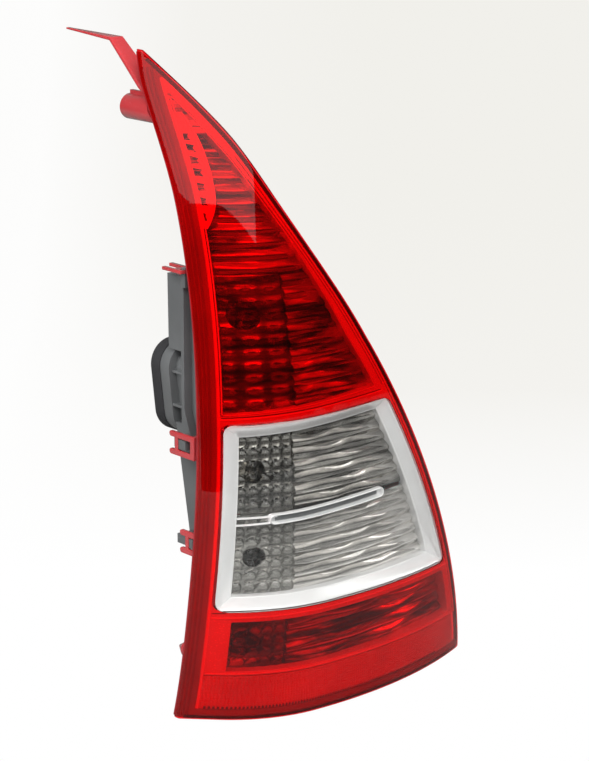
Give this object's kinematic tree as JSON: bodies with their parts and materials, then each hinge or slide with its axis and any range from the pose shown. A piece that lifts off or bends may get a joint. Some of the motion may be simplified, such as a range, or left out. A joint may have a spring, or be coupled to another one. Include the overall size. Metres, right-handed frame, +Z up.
{
  "type": "tail light cluster",
  "caption": "Tall, tapering rear light for a car: red lens with a clear lower window, fluted reflectors, bulb holder and red rear housing with clip-on catches.",
  "frame": {"origin": "centre of the main mounting stud's shoulder face, on the back of the housing, where the body panel sits", "axes": "+Z up; +Y backwards into the car body, along the mounting stud; the lens faces -Y; +X towards the outboard side, where the lens is widest"},
  "size_m": [0.2874, 0.238, 0.522],
  "materials": {
    "lens_red": "glossy, transparent red",
    "window_clear": "glossy, clear moulded plastic",
    "chrome_trim": "bright metallised",
    "optic_clear": "clear moulded pillows",
    "reflex_red": "prismatic",
    "reflector_bright": "metallised, seen through red",
    "reflector_silver": "metallised",
    "housing_red": "semi-matte, slightly translucent",
    "holder_black": "fine matte grain",
    "foam_seal": "closed-cell foam",
    "contact_metal": "tinned",
    "contact_brass": "stamped",
    "bulb_glass": "clear",
    "bulb_silvered": "amber glass under a silver coat",
    "bulb_metal": "plated",
    "filament_wire": "bare wire",
    "stud_steel": "zinc plated"
  },
  "bodies": {
    "root": {"red_lens": "lens_red", "clear_window": "window_clear", "chrome_bezel": "chrome_trim", "divider_trim": "chrome_trim", "reflex_panel": "reflex_red", "reflector_frame": "reflector_bright", "upper_flutes": "reflector_bright", "indicator_flutes": "reflector_silver", "reverse_flutes": "reflector_silver", "lower_flutes": "reflector_bright", "stop_optic": "optic_clear", "indicator_optic": "optic_clear", "reverse_optic": "optic_clear", "fog_optic": "optic_clear", "stop_bowl": "reflector_silver", "indicator_bowl": "reflector_silver", "reverse_bowl": "reflector_silver", "fog_bowl": "reflector_silver", "chamber_partition": "reflector_silver", "upper_wall": "reflector_bright", "lower_wall": "reflector_bright", "rear_housing": "housing_red", "mounting_arm": "housing_red", "screw_boss": "housing_red", "top_catch": "housing_red", "middle_catch": "housing_red", "lower_catch": "housing_red", "locating_peg": "housing_red", "bulb_holder": "holder_black", "holder_latches": "holder_black", "connector_tower": "holder_black", "tower_seal": "foam_seal", "connector_pins": "contact_metal", "holder_gasket": "foam_seal", "fog_socket": "holder_black", "stop_bulb_glass": "bulb_glass", "stop_bulb_base": "bulb_metal", "stop_bulb_filament": "filament_wire", "indicator_bulb_glass": "bulb_silvered", "indicator_bulb_base": "bulb_metal", "indicator_bulb_filament": "filament_wire", "reverse_bulb_glass": "bulb_glass", "reverse_bulb_base": "bulb_metal", "reverse_bulb_filament": "filament_wire", "fog_bulb_glass": "bulb_glass", "fog_bulb_base": "bulb_metal", "fog_bulb_filament": "filament_wire", "ground_strip": "contact_brass", "feed_strip": "contact_brass", "main_stud": "stud_steel", "lower_stud": "stud_steel", "vent_cap": "holder_black"}
  },
  "joints": []
}
